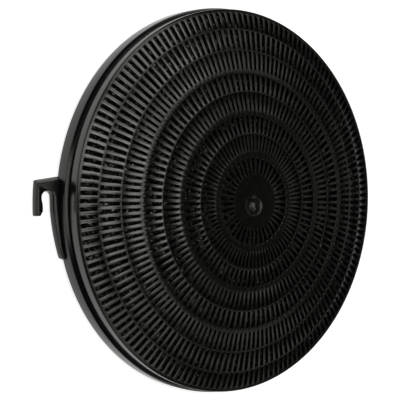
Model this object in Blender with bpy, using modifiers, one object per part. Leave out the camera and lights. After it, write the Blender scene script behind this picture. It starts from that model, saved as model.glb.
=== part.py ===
# Round cooker hood carbon filter: a domed front grille closes a shallow rear casing full of charcoal.
# The casing carries two bayonet hooks. The filter stands on its back at Z = 0, the grille looks up,
# the axis is Z and the first hook reaches along -X.

from math import asin, cos, pi, radians, sin, tau

import bmesh
import bpy

# Fits
CLEARANCE = 0.0003

# Rear casing
CASING_RADIUS = 0.1162
CASING_HEIGHT = 0.0104
CASING_WALL = 0.0023
CASING_FLARE = 0.0004
CASING_RIM_CHAMFER = 0.0015
CASING_FOOT_CHAMFER = 0.0010
REAR_THICKNESS = 0.0020
REAR_MARGIN = 0.0040

# Rear slots, from the middle out
REAR_HUB_RADIUS = 0.0180
REAR_RING_WIDTHS = (0.0045, 0.0045)
REAR_BAND_SHARES = (27.0, 27.0, 28.0)
REAR_RIB_COUNTS = (32, 54, 76)
REAR_RIB_SHARE = 0.55
REAR_RIB_STARTS = (0.5, 0.5, 0.5)

# Front grille
COVER_SIDE_HEIGHT = 0.0074
COVER_OVERHANG = 0.0008
COVER_SEAM_BEVEL = 0.0011
COVER_EDGE_ROUNDING = 0.0012
COVER_LAND = 0.0016
SKIRT_WALL = 0.0012
SKIRT_DEPTH = 0.0045
DOME_RISE = 0.0123
DOME_FULLNESS = 0.27
GRILLE_THICKNESS = 0.0020

# Front slots, from the middle out: broad rings part the bands, the last ring is a thin one
HUB_RADIUS = 0.0164
RING_WIDTHS = (0.0042, 0.0037, 0.0031, 0.0010)
BAND_SHARES = (9.4, 20.9, 21.0, 23.1, 10.0)
RIB_COUNTS = (40, 80, 110, 147, 160)
RIB_SHARE = 0.43
# Where the first rib of each band stands, in rib pitches from +X
RIB_STARTS = (0.69, 0.34, 0.10, 0.30, 0.39)

# Moulding gate in the hub: a shallow well with the stub of the sprue in it, a little below the middle
GATE_WELL_RADIUS = 0.0058
GATE_WELL_DEPTH = 0.0005
GATE_OFFSET = 0.0026
GATE_STUB_RADIUS = 0.0016
GATE_STUB_TIP_RADIUS = 0.0013
GATE_STUB_HEIGHT = 0.0009

# Central column, which keeps the grille off the charcoal, cored out from the back
COLUMN_FOOT_RADIUS = 0.0090
COLUMN_TOP_RADIUS = 0.0080
COLUMN_WALL = 0.0020

# Bayonet hooks
HOOK_COUNT = 2
HOOK_THICKNESS = 0.0040
HOOK_SETBACK = 0.0009
HOOK_FLANGE_ROOT = 0.0036
HOOK_FLANGE_END = 0.0020
HOOK_FLANGE_ANGLE = radians(12.7)
HOOK_SLOT_WIDTH = 0.0077
HOOK_SLOT_DEPTH = 0.0132
HOOK_SLOT_TOP = 0.0106
HOOK_BAR = 0.0048
HOOK_BAR_FALL = 0.0016
HOOK_RAMP = 0.0020
HOOK_POST = 0.0034
HOOK_CORNER = 0.0010
HOOK_TIP_CHAMFER = 0.0003
HOOK_TIP_LEAD = 0.0010
HOOK_DETENT = 0.0007
HOOK_DETENT_LENGTH = 0.0064
HOOK_DETENT_CUT = 0.3
HOOK_LEAD_IN = 0.0024
HOOK_BITE = 0.0012

# Facets
WALL_SEGMENTS = 80
ROUND_SEGMENTS = 32
STUB_SEGMENTS = 10
FILL_SEGMENTS = 48
FILL_STEPS = 6
ARCH_STEPS = 12
CORNER_STEPS = 3
DETENT_STEPS = 6
FLANGE_STEPS = 6
BURIED_STEPS = 4
EDGE_STEPS = 2

# Sizes that follow from those above
casing_inner_radius = CASING_RADIUS - CASING_WALL
skirt_radius = casing_inner_radius - CLEARANCE
skirt_inner_radius = skirt_radius - SKIRT_WALL
cover_radius = skirt_radius + COVER_OVERHANG
slot_end_radius = cover_radius - COVER_LAND
cover_seat_height = CASING_HEIGHT + CLEARANCE
hook_slot_inner = CASING_RADIUS + HOOK_FLANGE_ROOT
hook_slot_outer = hook_slot_inner + HOOK_SLOT_WIDTH
hook_reach = hook_slot_outer + HOOK_POST


def make_collection(name):
    collection = bpy.data.collections.new(name)
    bpy.context.scene.collection.children.link(collection)
    return collection


def make_material(name, colour, roughness):
    material = bpy.data.materials.new(name)
    material.use_nodes = True
    shader = material.node_tree.nodes["Principled BSDF"]
    shader.inputs["Base Color"].default_value = (*colour, 1.0)
    shader.inputs["Roughness"].default_value = roughness
    shader.inputs["Metallic"].default_value = 0.0
    material.diffuse_color = (*colour, 1.0)
    return material


def make_object(name, bm, collection, material=None):
    bmesh.ops.recalc_face_normals(bm, faces=bm.faces[:])
    mesh = bpy.data.meshes.new(name)
    bm.to_mesh(mesh)
    bm.free()
    mesh.shade_smooth()
    mesh.set_sharp_from_angle(angle=radians(30))
    if material:
        mesh.materials.append(material)
    obj = bpy.data.objects.new(name, mesh)
    collection.objects.link(obj)
    return obj


def make_cutter(name, bm, collection):
    cutter = make_object(name, bm, collection)
    cutter.hide_render = True
    cutter.display_type = "WIRE"
    return cutter


def add_boolean(obj, operation, other):
    modifier = obj.modifiers.new(other.name, "BOOLEAN")
    modifier.operation = operation
    modifier.solver = "EXACT"
    modifier.object = other


def ring_of_points(bm, radius, height, angles):
    return [(a, bm.verts.new((radius * cos(a), radius * sin(a), height))) for a in angles]


def even_angles(count):
    return [tau * i / count for i in range(count)]


def arc(centre_x, centre_y, radius, start, end, steps):
    angles = [start + (end - start) * i / steps for i in range(steps + 1)]
    return [(centre_x + radius * cos(a), centre_y + radius * sin(a)) for a in angles]


def loft(bm, loop_a, loop_b):
    # Triangles between two closed loops, which may have unlike numbers of points
    i = j = 0
    while i < len(loop_a) or j < len(loop_b):
        angle_a, next_a = loop_a[(i + 1) % len(loop_a)]
        angle_b, next_b = loop_b[(j + 1) % len(loop_b)]
        angle_a += tau * ((i + 1) // len(loop_a))
        angle_b += tau * ((j + 1) // len(loop_b))
        here_a = loop_a[i % len(loop_a)][1]
        here_b = loop_b[j % len(loop_b)][1]
        if j == len(loop_b) or (i < len(loop_a) and angle_a <= angle_b):
            bm.faces.new((here_a, next_a, here_b))
            i += 1
        else:
            bm.faces.new((here_a, next_b, here_b))
            j += 1


def rib_loop(bm, radius, height, count, first, width):
    # Two points a rib, or one where its moulding draft brings it to an edge
    half = 0.5 * width / radius
    sides = (-half, half) if width > 0 else (0.0,)
    angles = [tau * (i + first) / count + side for i in range(count) for side in sides]
    return ring_of_points(bm, radius, height, angles)


def rib_points(loop, count, index):
    start = 2 * (index % count)
    return loop[start][1], loop[start + 1][1]


def ribs_between(bm, face_in, face_out, back_in, back_out, count):
    # Wedge ribs, flat on the face and sharp at the back, and the walls that end the slots between them
    for i in range(count):
        in_left, in_right = rib_points(face_in, count, i)
        out_left, out_right = rib_points(face_out, count, i)
        in_back, out_back = back_in[i][1], back_out[i][1]
        bm.faces.new((in_left, in_right, out_right, out_left))
        bm.faces.new((in_left, out_left, out_back, in_back))
        bm.faces.new((in_right, in_back, out_back, out_right))
        for face, back in ((face_in, back_in), (face_out, back_out)):
            right, next_left = rib_points(face, count, i)[1], rib_points(face, count, i + 1)[0]
            bm.faces.new((right, next_left, back[(i + 1) % count][1], back[i][1]))


def band_radii(inner, outer, ring_widths, shares):
    # The slots share what the rings leave between the hub and the rim
    room = outer - inner - sum(ring_widths)
    radii = []
    start = inner
    for share, ring in zip(shares, (*ring_widths, 0.0)):
        end = start + room * share / sum(shares)
        radii.append((start, end))
        start = end + ring
    return radii


def rib_width(radius, band, count, share, parallel):
    # Parallel ribs have the width of the middle of their band, and the others widen outwards
    at_radius = 0.5 * sum(band) if parallel else radius
    return share * tau * at_radius / count


def add_grille(bm, radii, counts, starts, rib_share, parallel, face_height, back_height, last_back_radius):
    # A hub, rings and ribs with open slots; gives back the outer loops of the face and of the back
    last_face = last_back = None
    for (inner, outer), count, first in zip(radii, counts, starts):
        width_in = rib_width(inner, (inner, outer), count, rib_share, parallel)
        width_out = rib_width(outer, (inner, outer), count, rib_share, parallel)
        back_outer = last_back_radius if outer == radii[-1][1] else outer
        face_in = rib_loop(bm, inner, face_height(inner), count, first, width_in)
        face_out = rib_loop(bm, outer, face_height(outer), count, first, width_out)
        back_in = rib_loop(bm, inner, back_height(inner), count, first, 0.0)
        back_out = rib_loop(bm, back_outer, back_height(outer), count, first, 0.0)
        ribs_between(bm, face_in, face_out, back_in, back_out, count)
        if last_face:
            loft(bm, last_face, face_in)
            loft(bm, last_back, back_in)
        else:
            bm.faces.new([v for _, v in face_in])
            bm.faces.new([v for _, v in back_in])
        last_face, last_back = face_out, back_out
    return last_face, last_back


def add_rim(bm, face_loop, profile, back_loop):
    # A turned rim from the face of a grille round to its back
    last = face_loop
    for radius, height in profile:
        loop = ring_of_points(bm, radius, height, even_angles(WALL_SEGMENTS))
        loft(bm, last, loop)
        last = loop
    loft(bm, last, back_loop)


def dome_height(radius):
    # Height over the cover's seat: full in the middle, steeper towards the edge
    t = min(radius / cover_radius, 1.0)
    return COVER_SIDE_HEIGHT + DOME_RISE * (1 - t ** 2) * (1 + DOME_FULLNESS * t ** 2)


def dome_back(radius):
    return dome_height(radius) - GRILLE_THICKNESS


hub_face_height = dome_height(HUB_RADIUS)


def cone(radius_low, radius_high, low, high, segments, centre=(0.0, 0.0)):
    bm = bmesh.new()
    bmesh.ops.create_cone(
        bm, cap_ends=True, segments=segments, radius1=radius_low, radius2=radius_high, depth=high - low
    )
    bmesh.ops.translate(bm, vec=(centre[0], centre[1], 0.5 * (low + high)), verts=bm.verts[:])
    return bm


def front_grille(collection, cutters, material):
    bm = bmesh.new()
    radii = band_radii(HUB_RADIUS, slot_end_radius, RING_WIDTHS, BAND_SHARES)
    face, back = add_grille(
        bm, radii, RIB_COUNTS, RIB_STARTS, RIB_SHARE, True, dome_height, dome_back, skirt_inner_radius
    )
    edge_radius = cover_radius - COVER_EDGE_ROUNDING
    edge_height = dome_height(cover_radius) - COVER_EDGE_ROUNDING
    rounding = arc(edge_radius, edge_height, COVER_EDGE_ROUNDING, 0.5 * pi, 0.0, EDGE_STEPS)
    profile = (
        *rounding[1:],
        (cover_radius, COVER_SEAM_BEVEL),
        (skirt_radius + CLEARANCE, 0.0),
        (skirt_radius, 0.0),
        (skirt_radius, -SKIRT_DEPTH),
        (skirt_inner_radius, -SKIRT_DEPTH),
    )
    add_rim(bm, face, profile, back)
    grille = make_object("front_grille", bm, collection, material)

    gate = (0.0, -GATE_OFFSET)
    floor = hub_face_height - GATE_WELL_DEPTH
    stub_top = floor + GATE_STUB_HEIGHT
    well = cone(GATE_WELL_RADIUS, GATE_WELL_RADIUS, floor, stub_top, ROUND_SEGMENTS, gate)
    stub = cone(GATE_STUB_RADIUS, GATE_STUB_TIP_RADIUS, floor - CLEARANCE, stub_top, STUB_SEGMENTS, gate)
    for operation, bm_part, name in (("DIFFERENCE", well, "gate_well"), ("UNION", stub, "gate_stub")):
        part = make_cutter(name, bm_part, cutters)
        part.parent = grille
        add_boolean(grille, operation, part)
    return grille


def hook_outline():
    # Seen from the front with the wall on the left; x is the distance from the filter's axis
    slot_radius = 0.5 * HOOK_SLOT_WIDTH
    arch_y = HOOK_SLOT_TOP - slot_radius
    tip_y = HOOK_SLOT_TOP - HOOK_SLOT_DEPTH
    top_y = HOOK_SLOT_TOP + HOOK_BAR
    buried = CASING_RADIUS - HOOK_BITE

    top_angle = asin((top_y + 0.5 * HOOK_BAR_FALL) / buried)
    points = [(buried * cos(top_angle), buried * sin(top_angle))]
    corner_y = top_y - 0.5 * HOOK_BAR_FALL - HOOK_CORNER
    points += arc(hook_reach - HOOK_CORNER, corner_y, HOOK_CORNER, 0.5 * pi, 0.0, CORNER_STEPS)
    points += [(hook_reach, 0.5 * (corner_y + tip_y)), (hook_reach, tip_y + HOOK_TIP_CHAMFER)]
    points += [(hook_reach - HOOK_TIP_CHAMFER, tip_y), (hook_slot_outer + HOOK_TIP_LEAD, tip_y)]
    # The detent is a low hump on the post, cut off at its lower end by the lead-in
    for i in range(DETENT_STEPS + 1):
        t = i / DETENT_STEPS
        bump = HOOK_DETENT * sin(pi * (HOOK_DETENT_CUT + (1 - HOOK_DETENT_CUT) * t))
        points.append((hook_slot_outer - bump, tip_y + HOOK_LEAD_IN + HOOK_DETENT_LENGTH * t))
    points += arc(hook_slot_outer - slot_radius, arch_y, slot_radius, 0.0, pi, ARCH_STEPS)[1:]

    for i in range(FLANGE_STEPS + 1):
        t = i / FLANGE_STEPS
        radius = hook_slot_inner + (CASING_RADIUS + HOOK_FLANGE_END - hook_slot_inner) * t
        points.append((radius * cos(HOOK_FLANGE_ANGLE * t), -radius * sin(HOOK_FLANGE_ANGLE * t)))
    end_angle = HOOK_FLANGE_ANGLE + HOOK_FLANGE_END / CASING_RADIUS
    points.append((CASING_RADIUS * cos(end_angle), -CASING_RADIUS * sin(end_angle)))
    for i in range(BURIED_STEPS):
        a = end_angle - (end_angle + top_angle) * i / BURIED_STEPS
        points.append((buried * cos(a), -buried * sin(a)))
    return points


def hook_mesh():
    # The outline is drawn to the right of the axis, then mirrored to -X
    curve = bpy.data.curves.new("hook_outline", "CURVE")
    curve.dimensions = "2D"
    curve.fill_mode = "BOTH"
    curve.extrude = 0.5 * HOOK_THICKNESS
    points = hook_outline()
    spline = curve.splines.new("POLY")
    spline.points.add(len(points) - 1)
    for point, (x, y) in zip(spline.points, points):
        point.co = (-x, y, 0.0, 1.0)
    spline.use_cyclic_u = True
    drawn = bpy.data.objects.new("hook_outline", curve)
    bpy.context.scene.collection.objects.link(drawn)
    bpy.context.view_layer.update()
    mesh = bpy.data.meshes.new_from_object(drawn.evaluated_get(bpy.context.evaluated_depsgraph_get()))
    bpy.data.objects.remove(drawn)
    bm = bmesh.new()
    bm.from_mesh(mesh)
    bpy.data.meshes.remove(mesh)
    bmesh.ops.remove_doubles(bm, verts=bm.verts[:], dist=0.00001)
    # The bar's top slopes up from the front of the hook to its back
    for vert in bm.verts:
        if vert.co.z < 0.0 and vert.co.y > HOOK_SLOT_TOP + 0.5 * HOOK_BAR:
            vert.co.y += HOOK_RAMP
    return bm


def rear_casing(collection, cutters, material):
    bm = bmesh.new()
    radii = band_radii(
        REAR_HUB_RADIUS, casing_inner_radius - REAR_MARGIN, REAR_RING_WIDTHS, REAR_BAND_SHARES
    )
    face, back = add_grille(
        bm, radii, REAR_RIB_COUNTS, REAR_RIB_STARTS, REAR_RIB_SHARE, False,
        lambda r: 0.0, lambda r: REAR_THICKNESS, radii[-1][1],
    )
    foot_radius = CASING_RADIUS + CASING_FLARE
    profile = (
        (foot_radius - CASING_FOOT_CHAMFER, 0.0),
        (foot_radius, CASING_FOOT_CHAMFER),
        (CASING_RADIUS, CASING_HEIGHT - CASING_RIM_CHAMFER),
        (CASING_RADIUS - CASING_RIM_CHAMFER, CASING_HEIGHT),
        (casing_inner_radius, CASING_HEIGHT),
        (casing_inner_radius, REAR_THICKNESS),
    )
    add_rim(bm, face, profile, back)
    casing = make_object("rear_casing", bm, collection, material)

    for i in range(HOOK_COUNT):
        hook = make_cutter(f"hook_{i + 1}", hook_mesh(), cutters)
        hook.location.z = HOOK_SETBACK + 0.5 * HOOK_THICKNESS
        hook.rotation_euler.z = tau * i / HOOK_COUNT
        hook.parent = casing
        add_boolean(casing, "UNION", hook)

    column_top = cover_seat_height + hub_face_height - GRILLE_THICKNESS - CLEARANCE
    column = cone(COLUMN_FOOT_RADIUS, COLUMN_TOP_RADIUS, 0.5 * REAR_THICKNESS, column_top, ROUND_SEGMENTS)
    bore = cone(
        COLUMN_FOOT_RADIUS - COLUMN_WALL, COLUMN_TOP_RADIUS - COLUMN_WALL,
        -CLEARANCE, column_top - COLUMN_WALL, ROUND_SEGMENTS,
    )
    for operation, bm_part, name in (("UNION", column, "column"), ("DIFFERENCE", bore, "column_bore")):
        part = make_cutter(name, bm_part, cutters)
        part.parent = casing
        add_boolean(casing, operation, part)
    return casing


def charcoal_fill(collection, material):
    # Loose granules settle to the shape of the room between the casing and the grille
    bottom = REAR_THICKNESS + CLEARANCE
    inner = COLUMN_FOOT_RADIUS + CLEARANCE
    outer = skirt_inner_radius - CLEARANCE
    lift = cover_seat_height - GRILLE_THICKNESS - CLEARANCE
    mesh = bpy.data.meshes.new("charcoal_fill")
    bm = bmesh.new()
    steps = [inner + (outer - inner) * i / FILL_STEPS for i in range(FILL_STEPS + 1)]
    profile = [(r, lift + dome_height(r) - CLEARANCE - bottom) for r in steps] + [(outer, 0.0), (inner, 0.0)]
    verts = [bm.verts.new((r, 0.0, z)) for r, z in profile]
    for i, vert in enumerate(verts):
        bm.edges.new((vert, verts[(i + 1) % len(verts)]))
    bm.to_mesh(mesh)
    bm.free()
    mesh.materials.append(material)
    fill = bpy.data.objects.new("charcoal_fill", mesh)
    collection.objects.link(fill)
    fill.location.z = bottom
    screw = fill.modifiers.new("Screw", "SCREW")
    screw.axis = "Z"
    screw.angle = tau
    screw.steps = FILL_SEGMENTS
    screw.render_steps = FILL_SEGMENTS
    screw.use_merge_vertices = True
    screw.merge_threshold = 0.00001
    screw.use_normal_calculate = True
    screw.use_smooth_shade = False
    return fill


def main():
    for obj in list(bpy.data.objects):
        bpy.data.objects.remove(obj)
    parts = make_collection("carbon_filter")
    cutters = make_collection("cutters")
    frame = bpy.data.objects.new("carbon_filter", None)
    parts.objects.link(frame)

    casing = rear_casing(parts, cutters, make_material("casing_plastic", (0.016, 0.017, 0.018), 0.38))
    grille = front_grille(parts, cutters, make_material("grille_plastic", (0.018, 0.018, 0.017), 0.34))
    fill = charcoal_fill(parts, make_material("charcoal", (0.010, 0.010, 0.010), 0.80))
    grille.location.z = cover_seat_height
    for obj in (casing, grille, fill):
        obj.parent = frame


main()
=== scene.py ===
# Round charcoal filter for a cooker hood, lying on its back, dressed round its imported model.
import random
from math import asin, cos, hypot, pi, radians, sin, sqrt, tau

import bmesh
import bpy
from mathutils import Matrix, Vector, noise


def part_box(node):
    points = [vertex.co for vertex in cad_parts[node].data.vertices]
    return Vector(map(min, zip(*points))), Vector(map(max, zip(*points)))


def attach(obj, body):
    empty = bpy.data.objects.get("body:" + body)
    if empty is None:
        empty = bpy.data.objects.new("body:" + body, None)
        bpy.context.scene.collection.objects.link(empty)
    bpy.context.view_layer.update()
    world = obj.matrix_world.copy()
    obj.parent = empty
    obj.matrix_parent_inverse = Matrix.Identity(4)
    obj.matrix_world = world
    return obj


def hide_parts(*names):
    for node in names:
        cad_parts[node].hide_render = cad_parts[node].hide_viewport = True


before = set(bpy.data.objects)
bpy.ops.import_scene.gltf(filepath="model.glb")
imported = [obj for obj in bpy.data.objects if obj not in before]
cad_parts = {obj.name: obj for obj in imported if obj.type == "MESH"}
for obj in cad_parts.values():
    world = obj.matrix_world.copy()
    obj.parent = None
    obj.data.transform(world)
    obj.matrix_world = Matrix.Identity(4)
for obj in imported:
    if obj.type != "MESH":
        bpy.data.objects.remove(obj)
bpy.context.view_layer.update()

print("frame loaded:", ", ".join(sorted(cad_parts)))

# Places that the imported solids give
grilleLow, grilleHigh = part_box("front_grille")
_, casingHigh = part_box("rear_casing")
coverRadius = grilleHigh.x
skirtFoot = grilleLow.z

# Sizes that more than one moulding uses, in metres
fits = {
    "clearance": 0.0003,
    "casingHeight": 0.0104,
    "casingWall": 0.0023,
    "casingFlare": 0.0004,
    "rearThickness": 0.0020,
    "grilleThickness": 0.0020,
    "coverSide": 0.0074,
    "coverOverhang": 0.0008,
    "domeRise": 0.0123,
    "domeFullness": 0.27,
    "hubRadius": 0.0164,
}
casingRadius = casingHigh.y - fits["casingFlare"]
casingInner = casingRadius - fits["casingWall"]
coverSeat = fits["casingHeight"] + fits["clearance"]
skirtRadius = coverRadius - fits["coverOverhang"]


def domeHeight(radius):
    t = max(radius, fits["hubRadius"]) / coverRadius
    rise = fits["domeRise"] * (1 - t ** 2) * (1 + fits["domeFullness"] * t ** 2)
    return coverSeat + fits["coverSide"] + rise


def flatBack(radius):
    return 0.0


# Mesh helpers. Edges that turn by more than this many degrees stay crisp.
sharpAngle = 38


def pointAt(bm, radius, angle, height, centre=(0.0, 0.0)):
    return bm.verts.new((centre[0] + radius * cos(angle), centre[1] + radius * sin(angle), height))


def ringOf(bm, radius, height, count, centre=(0.0, 0.0)):
    # A ring is a list of angles, each with its point
    angles = [tau * i / count for i in range(count)]
    return [(angle, pointAt(bm, radius, angle, height, centre)) for angle in angles]


def joinRings(bm, ringA, ringB):
    # Quads between rings of as many points, else triangles that share out the angle
    if len(ringA) == len(ringB):
        for i in range(len(ringA)):
            j = (i + 1) % len(ringA)
            bm.faces.new((ringA[i][1], ringA[j][1], ringB[j][1], ringB[i][1]))
        return
    i = j = 0
    while i < len(ringA) or j < len(ringB):
        angleA, nextA = ringA[(i + 1) % len(ringA)]
        angleB, nextB = ringB[(j + 1) % len(ringB)]
        angleA += tau * ((i + 1) // len(ringA))
        angleB += tau * ((j + 1) // len(ringB))
        hereA = ringA[i % len(ringA)][1]
        hereB = ringB[j % len(ringB)][1]
        if j == len(ringB) or (i < len(ringA) and angleA <= angleB):
            bm.faces.new((hereA, nextA, hereB))
            i += 1
        else:
            bm.faces.new((hereA, nextB, hereB))
            j += 1


def closeRing(bm, ring, height):
    middle = sum((v.co for _, v in ring), Vector()) / len(ring)
    centre = bm.verts.new((middle.x, middle.y, height))
    for i in range(len(ring)):
        bm.faces.new((ring[i][1], ring[(i + 1) % len(ring)][1], centre))


def turnOutline(bm, ring, outline, count):
    # Carries a ring along a turned outline of (radius, height) points
    for radius, height in outline:
        nextRing = ringOf(bm, radius, height, count)
        joinRings(bm, ring, nextRing)
        ring = nextRing
    return ring


def softenCorners(outline, steps=3):
    # Each point is a radius, a height and how far from the corner its rounding starts
    soft = []
    for i, (radius, height, reach) in enumerate(outline):
        here = Vector((radius, height))
        if reach == 0:
            soft.append((radius, height))
            continue
        before = Vector(outline[i - 1][:2])
        after = Vector(outline[i + 1][:2])
        start = here + (before - here).normalized() * reach
        end = here + (after - here).normalized() * reach
        for k in range(steps + 1):
            t = k / steps
            point = start * (1 - t) ** 2 + here * 2 * t * (1 - t) + end * t ** 2
            soft.append((point.x, point.y))
    return soft


def pieceFrom(name, bm, material, sharpOver=sharpAngle):
    bmesh.ops.recalc_face_normals(bm, faces=bm.faces[:])
    mesh = bpy.data.meshes.new(name)
    bm.to_mesh(mesh)
    bm.free()
    mesh.shade_smooth()
    mesh.set_sharp_from_angle(angle=radians(sharpOver))
    mesh.materials.append(material)
    piece = bpy.data.objects.new(name, mesh)
    bpy.context.scene.collection.objects.link(piece)
    return piece


# Ribs and slots. A rib has seven points across its crest, and a slot's end three more.
ribAcross = (-1.0, -0.8, -0.4, 0.0, 0.4, 0.8, 1.0)
slotAcross = (-0.68, 0.0, 0.68)
cornerPower = 4


class SlottedRun:
    # Ribs of one count that run through one band of slots or two, and the ring edges beside them
    def __init__(self, bm, run, look, faceAt, side):
        self.bm = bm
        self.run = run
        self.look = look
        self.faceAt = faceAt
        self.side = side

    def height(self, radius, depth):
        return self.faceAt(radius) - self.side * depth

    def pitches(self, radius):
        # The angle of each rib's middle, with the rib's width and the gap to the next rib
        pitch = tau / self.run["count"]
        width = self.run["widthAt"](radius)
        for i in range(self.run["count"]):
            yield (i + self.run["start"]) * pitch, width, pitch * radius - width

    def gapPoints(self, radius, middle, width, gap, depth):
        points = []
        for across in slotAcross:
            angle = middle + (0.5 * width + gap * (across + 1) / 2) / radius
            points.append((angle, pointAt(self.bm, radius, angle, self.height(radius, depth))))
        return points

    def facePoints(self, radius, lipDepth=None, inward=0, slotsToo=True):
        # lipDepth is None on a flat ring, and else how deep the slot's end edge lies
        look = self.look
        row = []
        for middle, width, gap in self.pitches(radius):
            points = []
            for across in ribAcross:
                depth = 0.0
                if lipDepth is not None:
                    depth = look["ribDrop"] + look["ribCrown"] * abs(across) ** look["crownPower"]
                r = radius + inward * look["cornerReach"] * abs(across) ** cornerPower
                angle = middle + 0.5 * width * across / radius
                points.append((angle, pointAt(self.bm, r, angle, self.height(r, depth))))
            if slotsToo:
                points += self.gapPoints(radius, middle, width, gap, lipDepth or 0.0)
            row.append(points)
        return row

    def backPoints(self, radius, inward=0, slotsToo=True):
        look = self.look
        row = []
        for middle, width, gap in self.pitches(radius):
            half = 0.5 * width * look["ribBackShare"]
            points = []
            for across in (-1.0, 1.0):
                r = radius + inward * look["cornerReach"]
                angle = middle + half * across / radius
                points.append((angle, pointAt(self.bm, r, angle, self.height(r, look["thickness"]))))
            if slotsToo:
                points += self.gapPoints(radius, middle, width, gap, look["thickness"])
            row.append(points)
        return row

    def joinRows(self, rowA, rowB, strips):
        # Quads between two rows of points, over the first strips of each pitch
        count = self.run["count"]
        columns = len(rowA[0])
        for i in range(count):
            for c in range(strips):
                n = (i + (c + 1) // columns) % count
                d = (c + 1) % columns
                self.bm.faces.new((rowA[i][c][1], rowA[n][d][1], rowB[n][d][1], rowB[i][c][1]))

    def slotEndWall(self, face, back):
        count = self.run["count"]
        ribs = len(ribAcross)
        for i in range(count):
            n = (i + 1) % count
            top = [p[1] for p in face[i][ribs - 1:]] + [face[n][0][1]]
            bottom = [p[1] for p in back[i][1:]] + [back[n][0][1]]
            for k in range(len(top) - 1):
                self.bm.faces.new((top[k], top[k + 1], bottom[k + 1], bottom[k]))

    def ribSides(self, faceA, faceB, backA, backB):
        last = len(ribAcross) - 1
        for i in range(self.run["count"]):
            for c, b in ((0, 0), (last, 1)):
                self.bm.faces.new((faceA[i][c][1], faceB[i][c][1], backB[i][b][1], backA[i][b][1]))

    def build(self):
        # Gives back the innermost and outermost rings of points of the face and of the back
        look = self.look
        faceColumns = len(ribAcross) + len(slotAcross)
        backColumns = 2 + len(slotAcross)
        rings = []
        lastFace = lastBack = None
        for (inner, outer), (innerEnd, outerEnd) in zip(self.run["slots"], self.run["ends"]):
            face = self.facePoints(inner - innerEnd["width"])
            back = self.backPoints(inner - innerEnd["backWidth"])
            if lastFace:
                self.joinRows(lastFace, face, faceColumns)
                self.joinRows(lastBack, back, backColumns)
            else:
                rings += [face, back]
            lip = self.facePoints(inner, innerEnd["drop"], 1)
            lipBack = self.backPoints(inner + innerEnd["draft"], 1)
            self.joinRows(face, lip, faceColumns)
            self.joinRows(back, lipBack, backColumns)
            self.slotEndWall(lip, lipBack)
            for k in range(1, look["ribSteps"]):
                radius = inner + (outer - inner) * k / look["ribSteps"]
                crest = self.facePoints(radius, 0.0, 0, False)
                root = self.backPoints(radius, 0, False)
                self.joinOpen(lip, crest, lipBack, root)
                lip, lipBack = crest, root
            end = self.facePoints(outer, outerEnd["drop"], -1)
            endBack = self.backPoints(outer - outerEnd["draft"], -1)
            self.joinOpen(lip, end, lipBack, endBack)
            self.slotEndWall(end, endBack)
            face = self.facePoints(outer + outerEnd["width"])
            back = self.backPoints(outer + outerEnd["backWidth"])
            self.joinRows(end, face, faceColumns)
            self.joinRows(endBack, back, backColumns)
            lastFace, lastBack = face, back
        rings += [lastFace, lastBack]
        return [[point for pitch in row for point in pitch] for row in rings]

    def joinOpen(self, faceA, faceB, backA, backB):
        # A length of ribs with open slots between them
        for i in range(self.run["count"]):
            for c in range(len(ribAcross) - 1):
                self.bm.faces.new(
                    (faceA[i][c][1], faceA[i][c + 1][1], faceB[i][c + 1][1], faceB[i][c][1])
                )
            self.bm.faces.new((backA[i][0][1], backA[i][1][1], backB[i][1][1], backB[i][0][1]))
        self.ribSides(faceA, faceB, backA, backB)


def bandRadii(inner, outer, ringWidths, shares):
    # The slots share what the rings leave between the hub and the rim
    room = outer - inner - sum(ringWidths)
    bands = []
    start = inner
    for share, ring in zip(shares, (*ringWidths, 0.0)):
        end = start + room * share / sum(shares)
        bands.append((start, end))
        start = end + ring
    return bands


# Finishes
plasticFinish = {
    "grilleColour": (0.0046, 0.0046, 0.0043),
    "casingColour": (0.0046, 0.0048, 0.0050),
    "palerBy": 1.35,
    "roughness": (0.16, 0.24),
    "mottle": 0.0032,
    "cloud": 0.0224,
    "orangePeel": 0.0009,
    "peelDepth": 0.000012,
    "grilleShine": 0.8,
    "ringShine": 0.48,
    "casingShine": 0.32,
    "refraction": 1.5,
}
charcoalFinish = {
    "colour": (0.0008, 0.0008, 0.0008),
    "dustColour": (0.0036, 0.0036, 0.0035),
    "roughness": (0.24, 0.95),
    "patch": 0.0034,
    "shine": (0.14, 2.2),
    "glint": 0.0016,
    "glintsFrom": (0.60, 0.68),
    "grain": 0.0006,
    "pitDepth": 0.00010,
}


def nodeTree(name):
    material = bpy.data.materials.new(name)
    material.use_nodes = True
    tree = material.node_tree
    shader = tree.nodes["Principled BSDF"]
    return material, tree, shader


def noiseAt(tree, size, detail, coordinates):
    cloud = tree.nodes.new("ShaderNodeTexNoise")
    cloud.inputs["Scale"].default_value = 1 / size
    cloud.inputs["Detail"].default_value = detail
    tree.links.new(coordinates.outputs["Object"], cloud.inputs["Vector"])
    return cloud.outputs["Fac"]


def spread(tree, value, low, high, start=0.3, end=0.7):
    ramp = tree.nodes.new("ShaderNodeMapRange")
    ramp.inputs["From Min"].default_value = start
    ramp.inputs["From Max"].default_value = end
    ramp.inputs["To Min"].default_value = low
    ramp.inputs["To Max"].default_value = high
    tree.links.new(value, ramp.inputs["Value"])
    return ramp.outputs["Result"]


def bumpFrom(tree, value, depth):
    bump = tree.nodes.new("ShaderNodeBump")
    bump.inputs["Strength"].default_value = 1.0
    bump.inputs["Distance"].default_value = depth
    tree.links.new(value, bump.inputs["Height"])
    return bump.outputs["Normal"]


def colourBetween(tree, value, low, high):
    mix = tree.nodes.new("ShaderNodeMix")
    mix.data_type = "RGBA"
    mix.inputs["A"].default_value = (*low, 1)
    mix.inputs["B"].default_value = (*high, 1)
    tree.links.new(value, mix.inputs["Factor"])
    return mix.outputs["Result"]


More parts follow.
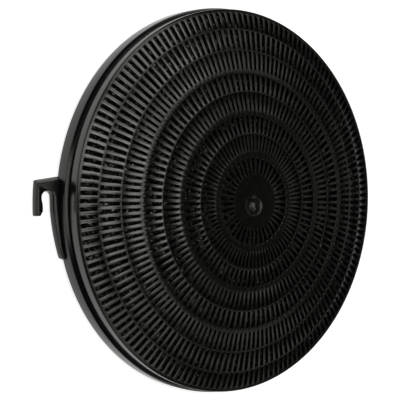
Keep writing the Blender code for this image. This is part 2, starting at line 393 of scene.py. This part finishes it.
def mouldedPlastic(name, colour, shine, ringShine=None):
    material, tree, shader = nodeTree(name)
    look = plasticFinish
    place = tree.nodes.new("ShaderNodeTexCoord")
    mottle = noiseAt(tree, look["mottle"], 3, place)
    cloud = noiseAt(tree, look["cloud"], 2, place)
    peel = noiseAt(tree, look["orangePeel"], 2, place)
    paler = tuple(look["palerBy"] * c for c in colour)
    tone = colourBetween(tree, spread(tree, cloud, 0.0, 1.0), colour, paler)
    tree.links.new(tone, shader.inputs["Base Color"])
    tree.links.new(spread(tree, mottle, *look["roughness"]), shader.inputs["Roughness"])
    tree.links.new(bumpFrom(tree, peel, look["peelDepth"]), shader.inputs["Normal"])
    shader.inputs["IOR"].default_value = look["refraction"]
    shader.inputs["Specular IOR Level"].default_value = shine
    if ringShine is not None:
        rubbed = tree.nodes.new("ShaderNodeAttribute")
        rubbed.attribute_name = "rubbed"
        level = spread(tree, rubbed.outputs["Fac"], ringShine, shine, 0.0, 1.0)
        tree.links.new(level, shader.inputs["Specular IOR Level"])
    return material


def markRubbed(piece, slots):
    # The ribs between the slots are rubbed shinier than the rings and the hub
    rubbed = piece.data.attributes.new("rubbed", "FLOAT", "FACE")
    for face in piece.data.polygons:
        reach = hypot(face.center.x, face.center.y)
        rubbed.data[face.index].value = float(any(inner < reach < outer for inner, outer in slots))


def charcoalGrain(name):
    material, tree, shader = nodeTree(name)
    look = charcoalFinish
    place = tree.nodes.new("ShaderNodeTexCoord")
    patches = noiseAt(tree, look["patch"], 2, place)
    grain = noiseAt(tree, look["grain"], 4, place)
    tone = colourBetween(tree, spread(tree, grain, 0.0, 1.0), look["colour"], look["dustColour"])
    tree.links.new(tone, shader.inputs["Base Color"])
    tree.links.new(spread(tree, patches, *look["roughness"]), shader.inputs["Roughness"])
    tree.links.new(bumpFrom(tree, grain, look["pitDepth"]), shader.inputs["Normal"])
    glints = noiseAt(tree, look["glint"], 0, place)
    shine = spread(tree, glints, *look["shine"], *look["glintsFrom"])
    tree.links.new(shine, shader.inputs["Specular IOR Level"])
    return material


grillePlastic = mouldedPlastic(
    "grillePlastic", plasticFinish["grilleColour"],
    plasticFinish["grilleShine"], plasticFinish["ringShine"],
)
casingPlastic = mouldedPlastic(
    "casingPlastic", plasticFinish["casingColour"], plasticFinish["casingShine"],
)
charcoal = charcoalGrain("charcoal")
print("finishes made")


# Front grille: ribs and rings on a shallow dome, the hub with its moulding gate, and the rim
frontGrille = {
    "ringWidths": (0.0042, 0.0037, 0.0031, 0.0010),
    "bandShares": (9.4, 20.9, 21.0, 23.1, 10.0),
    "ribCounts": (40, 80, 110, 147, 160),
    "ribStarts": (0.69, 0.34, 0.10, 0.30, 0.39),
    "thinRingAt": (None, 0.493, 0.502, 0.481, None),
    "thinRingWidth": 0.0010,
    "ribShare": 0.43,
    "ribDrop": 0.00006,
    "ribCrown": 0.00006,
    "crownPower": 2.6,
    "ribBackShare": 0.62,
    "ribSteps": 2,
    "cornerReach": 0.00035,
    "thickness": fits["grilleThickness"],
    "ringEnd": {"width": 0.0003, "drop": 0.0003, "draft": 0.00015, "backWidth": 0.0003},
    "thinEnd": {"width": 0.00025, "drop": 0.00025, "draft": 0.00015, "backWidth": 0.0003},
    "rimEnd": {"width": 0.0007, "drop": 0.0004, "draft": 0.0006, "backWidth": -0.0004},
    "bandEnds": (
        ("ringEnd", "ringEnd"), ("ringEnd", "ringEnd"), ("ringEnd", "ringEnd"),
        ("ringEnd", "thinEnd"), ("thinEnd", "rimEnd"),
    ),
    "land": 0.0016,
    "landStart": 0.00008,
    "lastSlotShort": 0.0008,
    "shoulderRounding": 0.0005,
    "seamBevel": 0.0011,
    "seamRounding": 0.0002,
    "lipRounding": 0.0001,
    "skirtWall": 0.0012,
    "skirtRounding": 0.0003,
    "skirtRoot": 0.0004,
    "rimPoints": 480,
}
gate = {
    "centre": (-0.0006, -0.0028),
    "wellRadius": 0.0050,
    "wellDepth": 0.0005,
    "stubRadius": 0.0024,
    "stubHeight": 0.0008,
    "stubTilt": 0.28,
    "stubRoughness": 0.00026,
    "stubWaver": 0.00006,
    # Shares of the stub's radius with heights, from its top and then from the well's floor
    "stubTop": ((0.35, -0.00012), (0.70, -0.00006), (0.88, -0.00020)),
    "stubMiddle": -0.00016,
    "stubFoot": ((1.00, 0.0002), (1.12, 0.0)),
    # Distances from the well's wall with heights, from its floor and then from the hub's face
    "wallFoot": ((-0.00035, 0.0), (-0.00018, 0.00006)),
    "wallLip": ((-0.00006, -0.00014), (0.00012, 0.0)),
    "tearScale": 1400.0,
    "tearStep": 7.3,
    "headroom": 0.00003,
    "hubLand": 0.0009,
    "hubSteps": 4,
    "points": 96,
}


def buildHub(bm, ring):
    # The hub's face from the sprue stub out to the first ring, whose centre the gate doesn't share
    face = domeHeight(0.0)
    floor = face - gate["wellDepth"]
    top = floor + gate["stubHeight"]
    count, centre = gate["points"], gate["centre"]
    wall, stub = gate["wellRadius"], gate["stubRadius"]
    profile = [(share * stub, top + rise) for share, rise in gate["stubTop"]]
    profile += [(share * stub, floor + rise) for share, rise in gate["stubFoot"]]
    profile += [(wall + step, floor + rise) for step, rise in gate["wallFoot"]]
    profile += [(wall + step, face + rise) for step, rise in gate["wallLip"]]
    rings = [ringOf(bm, radius, height, count, centre) for radius, height in profile]
    topRings = len(gate["stubTop"])
    for k, stubRing in enumerate(rings[:topRings + 1]):
        for _, v in stubRing:
            torn = noise.noise(v.co * gate["tearScale"] + Vector((0, 0, gate["tearStep"] * k)))
            out = Vector((v.co.x - centre[0], v.co.y - centre[1], 0)).normalized()
            v.co += out * torn * gate["stubWaver"]
            if k < topRings:
                v.co.z += gate["stubTilt"] * (v.co.x - centre[0])
                v.co.z += torn * gate["stubRoughness"]
            v.co.z = min(v.co.z, grilleHigh.z - gate["headroom"])
    lip = profile[-1][0]
    hubEdge = fits["hubRadius"] - gate["hubLand"]
    for k in range(1, gate["hubSteps"] + 1):
        t = k / gate["hubSteps"]
        middle = (centre[0] * (1 - t), centre[1] * (1 - t))
        rings.append(ringOf(bm, lip + (hubEdge - lip) * t, face, count, middle))
    closeRing(bm, rings[0], top + gate["stubMiddle"])
    for a, b in zip(rings, rings[1:]):
        joinRings(bm, a, b)
    joinRings(bm, rings[-1], ring)


def buildFrontGrille():
    look = frontGrille
    bm = bmesh.new()
    slotEnd = coverRadius - look["land"]
    bands = bandRadii(fits["hubRadius"], slotEnd, look["ringWidths"], look["bandShares"])
    slotEnd -= look["lastSlotShort"]
    bands[-1] = (bands[-1][0], slotEnd)
    ribbed = []
    lastFace = lastBack = None
    for i, (inner, outer) in enumerate(bands):
        count = look["ribCounts"][i]
        width = look["ribShare"] * tau * 0.5 * (inner + outer) / count
        thinEnd = look["thinEnd"]
        innerEnd, outerEnd = (look[end] for end in look["bandEnds"][i])
        slots = [(inner, outer)]
        ends = [(innerEnd, outerEnd)]
        if look["thinRingAt"][i]:
            middle = inner + (outer - inner) * look["thinRingAt"][i]
            half = 0.5 * look["thinRingWidth"]
            slots = [(inner, middle - half), (middle + half, outer)]
            ends = [(innerEnd, thinEnd), (thinEnd, outerEnd)]
        ribbed += slots
        run = {
            "count": count, "start": look["ribStarts"][i],
            "widthAt": lambda r, w=width: w, "slots": slots, "ends": ends,
        }
        innerFace, innerBack, outerFace, outerBack = SlottedRun(bm, run, look, domeHeight, 1).build()
        if lastFace:
            joinRings(bm, lastFace, innerFace)
            joinRings(bm, lastBack, innerBack)
        else:
            buildHub(bm, innerFace)
            closeRing(bm, innerBack, domeHeight(0.0) - look["thickness"])
        lastFace, lastBack = outerFace, outerBack

    skirtInner = skirtRadius - look["skirtWall"]
    landStart = slotEnd + look["rimEnd"]["width"] + look["landStart"]
    rootHeight = domeHeight(slotEnd) - look["thickness"] - look["skirtRoot"]
    outline = softenCorners((
        (landStart, domeHeight(landStart), 0),
        (coverRadius, domeHeight(coverRadius), look["shoulderRounding"]),
        (coverRadius, coverSeat + look["seamBevel"], look["seamRounding"]),
        (skirtRadius + fits["clearance"], coverSeat, look["lipRounding"]),
        (skirtRadius, coverSeat, look["lipRounding"]),
        (skirtRadius, skirtFoot, look["skirtRounding"]),
        (skirtInner, skirtFoot, look["skirtRounding"]),
        (skirtInner, rootHeight, 0),
    ))
    ring = turnOutline(bm, lastFace, outline, look["rimPoints"])
    joinRings(bm, ring, lastBack)
    piece = pieceFrom("frontGrille", bm, grillePlastic)
    markRubbed(piece, ribbed)
    return piece


grille = buildFrontGrille()
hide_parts("front_grille")
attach(grille, "root")
print("front grille:", len(grille.data.vertices), "points")


# Rear casing: slotted back, side wall with a chamfered rim, cored column and two bayonet hooks
rearCasing = {
    "hubRadius": 0.0180,
    "ringWidths": (0.0045, 0.0045),
    "bandShares": (27.0, 27.0, 28.0),
    "ribCounts": (32, 54, 76),
    "ribStarts": (0.5, 0.5, 0.5),
    "ribShare": 0.55,
    "ribDrop": 0.0,
    "ribCrown": 0.00025,
    "crownPower": 2.4,
    "ribBackShare": 0.75,
    "ribSteps": 2,
    "cornerReach": 0.0007,
    "thickness": fits["rearThickness"],
    "slotEnd": {"width": 0.00025, "drop": 0.00025, "draft": 0.00015, "backWidth": 0.0003},
    "margin": 0.0040,
    "land": 0.0012,
    "footChamfer": 0.0010,
    "footRounding": 0.0003,
    "rimChamfer": 0.0015,
    "rimRounding": 0.00025,
    "rimInnerRounding": 0.0002,
    "floorRounding": 0.0005,
    "hubLand": 0.0010,
    "columnFoot": 0.0090,
    "columnTop": 0.0080,
    "columnWall": 0.0020,
    "columnRounding": 0.0003,
    "boreRounding": 0.0006,
    "capInner": 0.0012,
    "columnPoints": 96,
    "wallPoints": 480,
}
hook = {
    "count": 2,
    "thickness": 0.0040,
    "setback": 0.0002,
    "draft": 0.0005,
    "flangeRoot": 0.0036,
    "flangeEnd": 0.0020,
    "flangeAngle": 12.7,
    "slotWidth": 0.0069,
    "slotDepth": 0.0132,
    "slotTop": 0.0106,
    "bar": 0.0048,
    "barFall": 0.0016,
    "ramp": 0.0020,
    "post": 0.0033,
    "corner": 0.0010,
    "tipChamfer": 0.0003,
    "tipLead": 0.0010,
    "detent": 0.0006,
    "detentLength": 0.0064,
    "detentCut": 0.3,
    "leadIn": 0.0024,
    "bite": 0.0012,
    "edge": 0.00035,
    "edgeOver": 50,
    "cornerSteps": 6,
    "detentSteps": 12,
    "archSteps": 24,
    "flangeSteps": 8,
    "buriedSteps": 6,
}


def buildColumn(bm, faceRing, backRing, look):
    # The bore from the back up to its closed end, and the column round it inside the casing
    count = look["columnPoints"]
    top = domeHeight(0.0) - fits["grilleThickness"] - fits["clearance"]
    wall, foot, crown = look["columnWall"], look["columnFoot"], look["columnTop"]
    thickness = look["thickness"]
    start = look["hubRadius"] - look["hubLand"]
    bore = softenCorners((
        (start, 0.0, 0),
        (foot - wall, 0.0, look["columnRounding"]),
        (crown - wall, top - wall, look["boreRounding"]),
        (look["capInner"], top - wall, 0),
    ))
    ring = turnOutline(bm, faceRing, bore, count)
    closeRing(bm, ring, top - wall)
    column = softenCorners((
        (start, thickness, 0),
        (foot, thickness, look["floorRounding"]),
        (crown, top, look["columnRounding"]),
        (look["capInner"], top, 0),
    ))
    ring = turnOutline(bm, backRing, column, count)
    closeRing(bm, ring, top)


def arcPoints(centreX, centreY, radius, start, end, steps):
    angles = [start + (end - start) * i / steps for i in range(steps + 1)]
    return [(centreX + radius * cos(a), centreY + radius * sin(a)) for a in angles]


def hookOutline(draft, ramp):
    # Seen from the front with the wall on the left; x is the distance from the filter's axis.
    # draft is how far the walls stand out from the front outline, and ramp how far the top does.
    # The outer side is bowed, and follows a circle round the axis.
    slotInner = casingRadius + hook["flangeRoot"] + draft
    slotOuter = slotInner + hook["slotWidth"] - 2 * draft
    reach = slotOuter + hook["post"] + 2 * draft
    slotRadius = 0.5 * (slotOuter - slotInner)
    slotTop = hook["slotTop"] - draft
    tip = hook["slotTop"] - hook["slotDepth"]
    top = hook["slotTop"] + hook["bar"] + ramp
    buried = casingRadius - hook["bite"]
    corner = hook["corner"]
    topAngle = asin((top + 0.5 * hook["barFall"]) / buried)
    points = [(buried * cos(topAngle), buried * sin(topAngle))]
    cornerY = top - 0.5 * hook["barFall"] - corner
    side = arcPoints(reach - corner, cornerY, corner, 0.5 * pi, 0.0, hook["cornerSteps"])
    side += [(reach, tip + (cornerY - tip) * t) for t in (0.75, 0.5, 0.25)]
    side += [(reach, tip + hook["tipChamfer"]), (reach - hook["tipChamfer"], tip)]
    points += [(x - reach + sqrt(reach ** 2 - y ** 2), y) for x, y in side]
    points += [(slotOuter + hook["tipLead"], tip)]
    for i in range(hook["detentSteps"] + 1):
        t = i / hook["detentSteps"]
        bump = hook["detent"] * sin(pi * (hook["detentCut"] + (1 - hook["detentCut"]) * t))
        points.append((slotOuter - bump, tip + hook["leadIn"] + hook["detentLength"] * t))
    middle, crown = slotOuter - slotRadius, slotTop - slotRadius
    points += arcPoints(middle, crown, slotRadius, 0.0, pi, hook["archSteps"])[1:]
    flangeAngle = radians(hook["flangeAngle"])
    for i in range(hook["flangeSteps"] + 1):
        t = i / hook["flangeSteps"]
        radius = slotInner + (casingRadius + hook["flangeEnd"] + draft - slotInner) * t
        points.append((radius * cos(flangeAngle * t), -radius * sin(flangeAngle * t)))
    endAngle = flangeAngle + hook["flangeEnd"] / casingRadius
    points.append((casingRadius * cos(endAngle), -casingRadius * sin(endAngle)))
    for i in range(hook["buriedSteps"]):
        a = endAngle - (endAngle + topAngle) * i / hook["buriedSteps"]
        points.append((buried * cos(a), -buried * sin(a)))
    return points


def buildHook(index):
    bm = bmesh.new()
    low = hook["setback"]
    high = low + hook["thickness"]
    back = [bm.verts.new((-x, y, low)) for x, y in hookOutline(hook["draft"], hook["ramp"])]
    front = [bm.verts.new((-x, y, high)) for x, y in hookOutline(0.0, 0.0)]
    bm.faces.new(back)
    bm.faces.new(front)
    for i in range(len(back)):
        bm.faces.new((back[i - 1], back[i], front[i], front[i - 1]))
    piece = pieceFrom(f"hook{index + 1}", bm, casingPlastic)
    piece.rotation_euler.z = tau * index / hook["count"]
    bevel = piece.modifiers.new("edge", "BEVEL")
    bevel.width = hook["edge"]
    bevel.segments = 2
    bevel.limit_method = "ANGLE"
    bevel.angle_limit = radians(hook["edgeOver"])
    return piece


def uniteWith(piece, others):
    for other in others:
        union = piece.modifiers.new(other.name, "BOOLEAN")
        union.operation = "UNION"
        union.solver = "EXACT"
        union.object = other
    bpy.context.view_layer.update()
    whole = piece.evaluated_get(bpy.context.evaluated_depsgraph_get())
    mesh = bpy.data.meshes.new_from_object(whole)
    piece.modifiers.clear()
    piece.data = mesh
    for other in others:
        bpy.data.objects.remove(other)
    mesh.shade_smooth()
    mesh.set_sharp_from_angle(angle=radians(sharpAngle))


def buildRearCasing():
    look = rearCasing
    bm = bmesh.new()
    slotEnd = casingInner - look["margin"]
    bands = bandRadii(look["hubRadius"], slotEnd, look["ringWidths"], look["bandShares"])
    lastFace = lastBack = None
    for i, (inner, outer) in enumerate(bands):
        count = look["ribCounts"][i]
        share = look["ribShare"]
        run = {
            "count": count, "start": look["ribStarts"][i],
            "widthAt": lambda r, n=count: share * tau * r / n,
            "slots": [(inner, outer)], "ends": [(look["slotEnd"], look["slotEnd"])],
        }
        innerFace, innerBack, outerFace, outerBack = SlottedRun(bm, run, look, flatBack, -1).build()
        if lastFace:
            joinRings(bm, lastFace, innerFace)
            joinRings(bm, lastBack, innerBack)
        else:
            buildColumn(bm, innerFace, innerBack, look)
        lastFace, lastBack = outerFace, outerBack

    foot = casingRadius + fits["casingFlare"]
    height = fits["casingHeight"]
    landStart = bands[-1][1] + look["land"]
    outline = softenCorners((
        (landStart, 0.0, 0),
        (foot - look["footChamfer"], 0.0, look["footRounding"]),
        (foot, look["footChamfer"], look["footRounding"]),
        (casingRadius, height - look["rimChamfer"], look["rimRounding"]),
        (casingRadius - look["rimChamfer"], height, look["rimRounding"]),
        (casingInner, height, look["rimInnerRounding"]),
        (casingInner, look["thickness"], look["floorRounding"]),
        (landStart, look["thickness"], 0),
    ))
    ring = turnOutline(bm, lastFace, outline, look["wallPoints"])
    joinRings(bm, ring, lastBack)
    casing = pieceFrom("rearCasing", bm, casingPlastic)
    uniteWith(casing, [buildHook(i) for i in range(hook["count"])])
    return casing


casing = buildRearCasing()
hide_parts("rear_casing")
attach(casing, "root")
print("rear casing:", len(casing.data.vertices), "points")


# Charcoal: a bed of packed granules, and the loose ones that show through the slots on each side
granules = {
    "size": 0.0027,
    "sizeMean": 1.12,
    "sizeSpread": 0.28,
    "nudge": 0.28,
    "rowStep": 0.87,
    "spareColumns": 20,
    "tip": 0.9,
    "rimReach": 0.56,
    "shapes": 28,
    "corners": 13,
    "stretches": ((0.8, 1.1), (0.7, 1.0), (0.55, 0.8)),
    "cornerOut": (0.85, 1.0),
    "tumble": 0.0009,
    "slopeReach": 0.002,
    "frontInner": 0.0150,
    "rearInner": 0.0165,
    "seed": 47,
}
bed = {
    "points": 160,
    "steps": 26,
    "dip": 0.0019,
    "lumps": 0.0007,
    "lumpSize": 0.0035,
    "margin": 0.0004,
    "sharpOver": 20,
}
fillInner = rearCasing["columnFoot"] + fits["clearance"]
fillOuter = skirtRadius - frontGrille["skirtWall"] - fits["clearance"]
fillFloor = fits["rearThickness"] + fits["clearance"]


def fillTop(radius):
    return domeHeight(radius) - fits["grilleThickness"] - fits["clearance"]


def granuleShapes(rng):
    # Angular chips: hulls of a few points on a squashed ball, half a unit in radius
    shapes = []
    for _ in range(granules["shapes"]):
        bm = bmesh.new()
        stretch = Vector([rng.uniform(low, high) for low, high in granules["stretches"]])
        for _ in range(granules["corners"]):
            way = Vector((rng.gauss(0, 1), rng.gauss(0, 1), rng.gauss(0, 1))).normalized()
            bm.verts.new(0.5 * way * stretch * rng.uniform(*granules["cornerOut"]))
        hull = bmesh.ops.convex_hull(bm, input=bm.verts[:])
        loose = [v for v in hull["geom_interior"] if isinstance(v, bmesh.types.BMVert)]
        bmesh.ops.delete(bm, geom=loose, context="VERTS")
        bm.verts.index_update()
        corners = [v.co.copy() for v in bm.verts]
        shapes.append((corners, [[v.index for v in f.verts] for f in bm.faces]))
        bm.free()
    return shapes


def scatterGranules(name, inner, heightAt, rng):
    # Rows of a honeycomb, each granule nudged, turned and sized by chance
    shapes = granuleShapes(rng)
    size, nudge, tip = granules["size"], granules["nudge"], granules["tip"]
    rowStep = size * granules["rowStep"]
    verts, faces = [], []
    rows = int(fillOuter / rowStep)
    columns = rows + granules["spareColumns"]
    for row in range(-rows, rows + 1):
        for column in range(-columns, columns + 1):
            x = (column + 0.5 * (row % 2) + rng.uniform(-nudge, nudge)) * size
            y = row * rowStep + rng.uniform(-nudge, nudge) * size
            scale = size * (granules["sizeMean"] + granules["sizeSpread"] * rng.uniform(-1, 1))
            radius = (x * x + y * y) ** 0.5
            corners, sides = rng.choice(shapes)
            spin = Matrix.Rotation(rng.uniform(0, tau), 3, "Z")
            turn = spin @ Matrix.Rotation(rng.uniform(-tip, tip), 3, "X")
            drop = rng.random()
            if not inner < radius < fillOuter - granules["rimReach"] * scale:
                continue
            points = [turn @ (scale * c) for c in corners]
            z = heightAt(radius, points, drop)
            base = len(verts)
            verts += [(x + p.x, y + p.y, z + p.z) for p in points]
            faces += [[base + k for k in side] for side in sides]
    mesh = bpy.data.meshes.new(name)
    mesh.from_pydata(verts, [], faces)
    mesh.materials.append(charcoal)
    piece = bpy.data.objects.new(name, mesh)
    bpy.context.scene.collection.objects.link(piece)
    return piece


def underGrille(radius, points, drop):
    slope = abs(domeHeight(radius + granules["slopeReach"]) - domeHeight(radius))
    return fillTop(radius) - slope - max(p.z for p in points) - drop * granules["tumble"]


def overBack(radius, points, drop):
    return fillFloor - min(p.z for p in points) + drop * granules["tumble"]


def buildBed():
    # The mass of charcoal between the two loose layers
    bm = bmesh.new()
    steps, count = bed["steps"], bed["points"]
    width = fillOuter - bed["margin"] - fillInner
    radii = [fillInner + width * i / steps for i in range(steps + 1)]
    top = [(r, fillTop(r) - bed["dip"]) for r in radii]
    bottom = [(r, fillFloor + bed["dip"]) for r in reversed(radii)]
    rings = [ringOf(bm, r, z, count) for r, z in top + bottom]
    for ring in rings:
        for _, v in ring:
            v.co.z += bed["lumps"] * noise.noise(v.co / bed["lumpSize"])
    for a, b in zip(rings, rings[1:] + rings[:1]):
        joinRings(bm, a, b)
    return pieceFrom("charcoalBed", bm, charcoal, bed["sharpOver"])


def buildCharcoal():
    rng = random.Random(granules["seed"])
    front = scatterGranules("charcoalFront", granules["frontInner"], underGrille, rng)
    rear = scatterGranules("charcoalRear", granules["rearInner"], overBack, rng)
    body = buildBed()
    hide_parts("charcoal_fill")
    for piece in (front, rear, body):
        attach(piece, "root")
    facets = len(front.data.polygons) + len(rear.data.polygons)
    print("charcoal:", facets, "facets of loose granules")


buildCharcoal()


# Studio: pale sweep all round, soft boxes, and the camera
sweep = {
    "radius": 3.5,
    "bend": 0.2,
    "height": 0.3,
    "colour": (0.84, 0.84, 0.84),
    "glow": 0.78,
    "middle": 0.6,
    "bendSteps": 8,
    "sharpOver": 60,
    "points": 96,
}
lighting = {
    "sky": 0.012,
    "colour": (1.0, 1.0, 0.92),
    "away": 1.2,
}
softboxes = (
    {"name": "keyBox", "toward": (-0.07, 0.22, 0.97), "size": (0.5, 0.32), "watts": 1.6},
    {"name": "crownBox", "toward": (0.14, 0.03, 0.99), "size": (0.38, 0.34), "watts": 0.9},
    {"name": "lowBox", "toward": (0.11, -0.21, 0.97), "size": (0.42, 0.28), "watts": 0.75},
    {"name": "sideBox", "toward": (0.36, 0.24, 0.9), "size": (0.26, 0.32), "watts": 0.2},
    {"name": "topBox", "toward": (0.22, 0.54, 0.81), "size": (0.55, 0.42), "watts": 1.6},
    {"name": "underBox", "toward": (0.14, -0.54, 0.83), "size": (0.6, 0.38), "watts": 0.6},
    {"name": "rightTopBox", "toward": (0.66, 0.42, 0.62), "size": (0.4, 0.3), "watts": 0.24},
    {"name": "rightLowBox", "toward": (0.64, -0.48, 0.6), "size": (0.4, 0.3), "watts": 0.22},
    {"name": "fillBox", "toward": (0.84, 0.0, 0.54), "size": (0.4, 0.4), "watts": 0.11},
    {"name": "edgeBox", "toward": (0.45, -0.85, 0.26), "size": (0.4, 0.34), "watts": 0.6},
    {"name": "leftBox", "toward": (-0.9, 0.05, 0.42), "size": (0.8, 0.4), "watts": 2.4},
)
photoCamera = {
    "lens": 79.5,
    "sensor": 36.0,
    "clipStart": 0.01,
    "place": (-0.34869, 0.02456, 0.42002),
    "across": (0.78470, -0.01991, 0.61956),
    "up": (0.04283, 0.99884, -0.02215),
    "back": (-0.61840, 0.04392, 0.78464),
}


def mathNode(tree, operation, value, other):
    # The other input is a number or a node's output too, and the result stays within 0 and 1
    node = tree.nodes.new("ShaderNodeMath")
    node.operation = operation
    node.use_clamp = True
    tree.links.new(value, node.inputs[0])
    if isinstance(other, float):
        node.inputs[1].default_value = other
    else:
        tree.links.new(other, node.inputs[1])
    return node.outputs[0]


def sweepMaterial():
    material, tree, shader = nodeTree("paleSweep")
    shader.inputs["Base Color"].default_value = (*sweep["colour"], 1)
    shader.inputs["Roughness"].default_value = 1.0
    shader.inputs["Specular IOR Level"].default_value = 0.0
    shader.inputs["Emission Color"].default_value = (1, 1, 1, 1)
    path = tree.nodes.new("ShaderNodeLightPath")
    seen = mathNode(tree, "ADD", path.outputs["Is Camera Ray"], path.outputs["Is Glossy Ray"])
    seenToo = mathNode(tree, "ADD", seen, path.outputs["Is Transmission Ray"])
    glow = mathNode(tree, "MULTIPLY", seenToo, sweep["glow"])
    tree.links.new(glow, shader.inputs["Emission Strength"])
    return material


def buildSweep():
    bm = bmesh.new()
    far, bend, count = sweep["radius"], sweep["bend"], sweep["points"]
    ring = ringOf(bm, sweep["middle"], 0.0, count)
    closeRing(bm, ring, 0.0)
    outline = [(far - bend, 0.0)]
    for k in range(1, sweep["bendSteps"] + 1):
        a = 0.5 * pi * k / sweep["bendSteps"]
        outline.append((far - bend + bend * sin(a), bend - bend * cos(a)))
    outline.append((far, sweep["height"]))
    turnOutline(bm, ring, outline, count)
    floor = pieceFrom("paleFloor", bm, sweepMaterial(), sweep["sharpOver"])
    floor.data.flip_normals()


def addSoftbox(box):
    lamp = bpy.data.lights.new(box["name"], "AREA")
    lamp.shape = "RECTANGLE"
    lamp.size, lamp.size_y = box["size"]
    lamp.energy = box["watts"]
    lamp.color = lighting["colour"]
    holder = bpy.data.objects.new(box["name"], lamp)
    way = Vector(box["toward"]).normalized()
    holder.location = way * lighting["away"] + Vector((0, 0, 0.5 * grilleHigh.z))
    holder.rotation_mode = "QUATERNION"
    holder.rotation_quaternion = (-way).to_track_quat("-Z", "Y")
    holder.visible_camera = False
    bpy.context.scene.collection.objects.link(holder)


def addCamera():
    lens = bpy.data.cameras.new("photoCamera")
    lens.lens = photoCamera["lens"]
    lens.sensor_width = photoCamera["sensor"]
    lens.clip_start = photoCamera["clipStart"]
    camera = bpy.data.objects.new("photoCamera", lens)
    axes = Matrix([photoCamera["across"], photoCamera["up"], photoCamera["back"]]).transposed()
    camera.matrix_world = Matrix.Translation(photoCamera["place"]) @ axes.to_4x4()
    bpy.context.scene.collection.objects.link(camera)
    bpy.context.scene.camera = camera


def setWorld():
    world = bpy.data.worlds.new("studio")
    world.use_nodes = True
    sky = world.node_tree.nodes["Background"]
    sky.inputs["Color"].default_value = (1, 1, 1, 1)
    sky.inputs["Strength"].default_value = lighting["sky"]
    bpy.context.scene.world = world


buildSweep()
for box in softboxes:
    addSoftbox(box)
addCamera()
setWorld()
bpy.context.scene.view_settings.view_transform = "Standard"
print("studio set")
